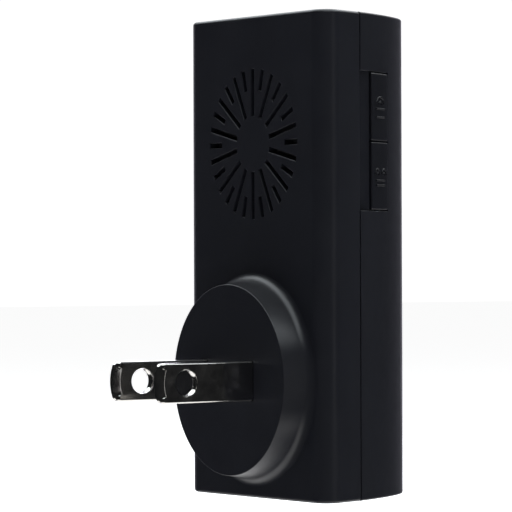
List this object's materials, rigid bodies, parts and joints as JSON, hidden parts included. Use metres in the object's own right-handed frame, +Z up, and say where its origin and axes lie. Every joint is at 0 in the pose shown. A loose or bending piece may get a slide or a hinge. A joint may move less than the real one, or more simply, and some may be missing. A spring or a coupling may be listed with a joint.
{
  "type": "ultrasonic pest repeller",
  "caption": "Slim D-section plug-in ultrasonic pest repeller with a sunburst sound grille, a round plug boss with flat pierced blades, and side keys.",
  "frame": {"origin": "centre of the boss (plug) face, midway between the two blades", "axes": "+Y the way the blades point, into the wall outlet; +Z up along the body; the front cover faces -Y and the keys are on the -X side"},
  "size_m": [0.0378, 0.051, 0.0782],
  "materials": {
    "housing": "satin moulded near-black plastic",
    "key": "satin moulded near-black plastic with raised pictograms",
    "blade": "bright nickel-plated brass",
    "lens": "frosted clear plastic",
    "carrier": "natural moulded insulating plastic",
    "screw": "zinc-plated steel",
    "lead_black": "soft wire insulation",
    "lead_white": "soft wire insulation",
    "lead_red": "soft wire insulation",
    "mesh": "fine woven black mesh",
    "foam": "black foam rubber",
    "sounder": "moulded black plastic",
    "cone": "pressed film",
    "brass": "rolled sheet",
    "ceramic": "silvered ceramic",
    "board": "green solder mask over glass laminate",
    "black_component": "moulded epoxy",
    "resistor": "cement coat",
    "varistor": "dipped epoxy",
    "film_capacitor": "moulded box",
    "capacitor": "shrink sleeve over aluminium can",
    "ferrite": "sintered ferrite",
    "winding": "tape-wrapped winding",
    "copper_winding": "enamelled copper wire",
    "tin": "tin plate",
    "light": "phosphor under clear resin"
  },
  "bodies": {
    "housing": {"rear_housing": "housing", "front_cover": "housing", "light_pipe": "lens", "left_blade": "blade", "right_blade": "blade", "blade_carrier": "carrier", "carrier_screws": "screw", "live_lead": "lead_black", "neutral_lead": "lead_white", "dust_mesh": "mesh", "sounder_gasket": "foam", "sounder_frame": "sounder", "sounder_cone": "cone", "piezo_plate": "brass", "piezo_ceramic": "ceramic", "sounder_clamp": "sounder", "clamp_screws": "screw", "sounder_lead_red": "lead_red", "sounder_lead_black": "lead_black", "sounder_socket": "carrier", "circuit_board": "board", "board_screws": "screw", "fusible_resistor": "resistor", "varistor": "varistor", "film_capacitor": "film_capacitor", "bridge_rectifier": "black_component", "bulk_capacitors": "capacitor", "filter_choke": "ferrite", "switching_chip": "black_component", "transformer_core": "ferrite", "transformer_bobbin": "black_component", "transformer_winding": "winding", "optocoupler": "black_component", "output_diode": "black_component", "output_capacitor": "capacitor", "control_chip": "black_component", "crystal": "tin", "boost_core": "ferrite", "boost_winding": "copper_winding", "chip_resistors": "black_component", "indicator_light": "light", "upper_switch_body": "tin", "lower_switch_body": "tin"},
    "upper_key": {"upper_key": "key"},
    "lower_key": {"lower_key": "key"},
    "upper_plunger": {"upper_switch_plunger": "black_component"},
    "lower_plunger": {"lower_switch_plunger": "black_component"}
  },
  "joints": [
    {"name": "upper_key_press", "type": "slide", "parent": "housing", "child": "upper_key", "axis": [1, 0, 0], "range_m": [0, 0.0004], "stiffness_N_per_m": 2000, "springref_m": -0.0001},
    {"name": "lower_key_press", "type": "slide", "parent": "housing", "child": "lower_key", "axis": [1, 0, 0], "range_m": [0, 0.0004], "stiffness_N_per_m": 2000, "springref_m": -0.0001},
    {"name": "upper_plunger_press", "type": "slide", "parent": "housing", "child": "upper_plunger", "axis": [1, 0, 0], "range_m": [0, 0.0004]},
    {"name": "lower_plunger_press", "type": "slide", "parent": "housing", "child": "lower_plunger", "axis": [1, 0, 0], "range_m": [0, 0.0004]}
  ],
  "couplings": [
    {"joint": "upper_plunger_press", "follows": "upper_key_press", "ratio": 1},
    {"joint": "lower_plunger_press", "follows": "lower_key_press", "ratio": 1}
  ]
}
